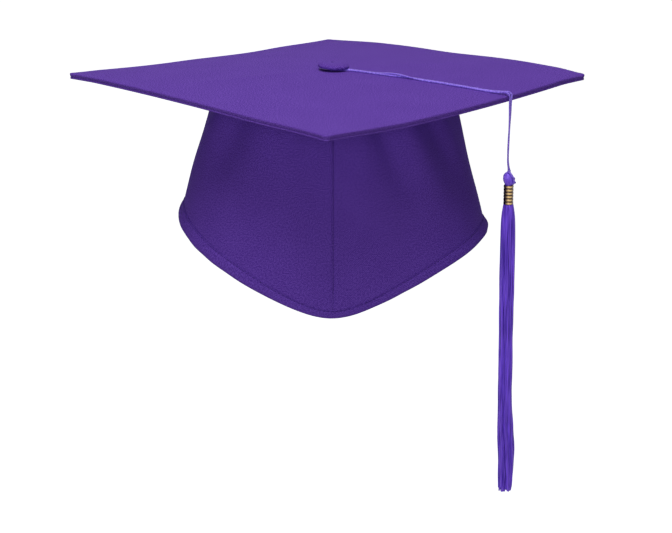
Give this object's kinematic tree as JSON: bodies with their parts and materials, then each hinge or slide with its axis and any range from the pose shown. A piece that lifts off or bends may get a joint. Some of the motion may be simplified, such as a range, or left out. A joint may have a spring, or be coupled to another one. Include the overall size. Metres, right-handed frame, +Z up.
{
  "type": "graduation cap",
  "caption": "Square cloth-covered graduation cap with a soft pointed crown, a covered button and a corded tassel held by a ribbed metal band.",
  "frame": {"origin": "middle of the head opening, level with the rim at the temples, straight below the button", "axes": "+Z up out of the head towards the button, -Y towards the front peak, +X to the viewer's right, the side on which the tassel hangs"},
  "size_m": [0.3408, 0.3408, 0.2759],
  "materials": {
    "cap_cloth": "satin twill, violet",
    "stiffening": "matt stiffened cloth, dark violet",
    "board_card": "matt pressed card",
    "elastic": "ribbed knitted elastic, white",
    "button_metal": "satin",
    "cord": "glossy rayon cord, light violet",
    "tassel_thread": "glossy rayon thread, violet",
    "band_brass": "polished"
  },
  "bodies": {
    "cap": {"board_card": "board_card", "board_cover_top": "cap_cloth", "board_cover_underside": "cap_cloth", "crown_tip": "stiffening", "crown_panel_left": "cap_cloth", "crown_panel_right": "cap_cloth", "crown_lining_left": "stiffening", "crown_lining_right": "stiffening", "front_seam_tape": "cap_cloth", "back_seam_tape": "cap_cloth", "hem_band_left": "cap_cloth", "hem_band_right": "cap_cloth", "elastic_band": "elastic"},
    "button": {"button_cover": "cap_cloth", "button_shell": "button_metal", "button_back": "button_metal", "button_shank": "button_metal", "button_washer": "button_metal"},
    "lead": {"lead_cord": "cord"},
    "drop": {"drop_cord": "cord"},
    "knot": {"tassel_knot": "cord"},
    "tassel": {"tassel_head": "tassel_thread", "tassel_head_loop": "cord", "tassel_binding": "tassel_thread", "tassel_band": "band_brass", "tassel_skirt": "tassel_thread"}
  },
  "joints": [
    {"name": "button_spin", "type": "hinge", "parent": "cap", "child": "button", "pos_m": [0, 0, 0.102], "axis": [0, 0, 1], "continuous": true},
    {"name": "tassel_swivel", "type": "hinge", "parent": "cap", "child": "lead", "pos_m": [0, 0, 0.1029], "axis": [0, 0, 1], "range_deg": [-36, 0]},
    {"name": "edge_swing", "type": "hinge", "parent": "lead", "child": "drop", "pos_m": [0.1128, -0.055, 0.09236], "axis": [-0.7071, -0.7071, 0], "range_deg": [-11, 95]},
    {"name": "tassel_sway", "type": "hinge", "parent": "drop", "child": "knot", "pos_m": [0.1128, -0.055, 0.04656], "axis": [0.7071, -0.7071, 0], "range_deg": [-60, 60]},
    {"name": "tassel_twist", "type": "hinge", "parent": "knot", "child": "tassel", "pos_m": [0.1128, -0.055, 0.04126], "axis": [0, 0, 1], "range_deg": [-180, 180]}
  ]
}
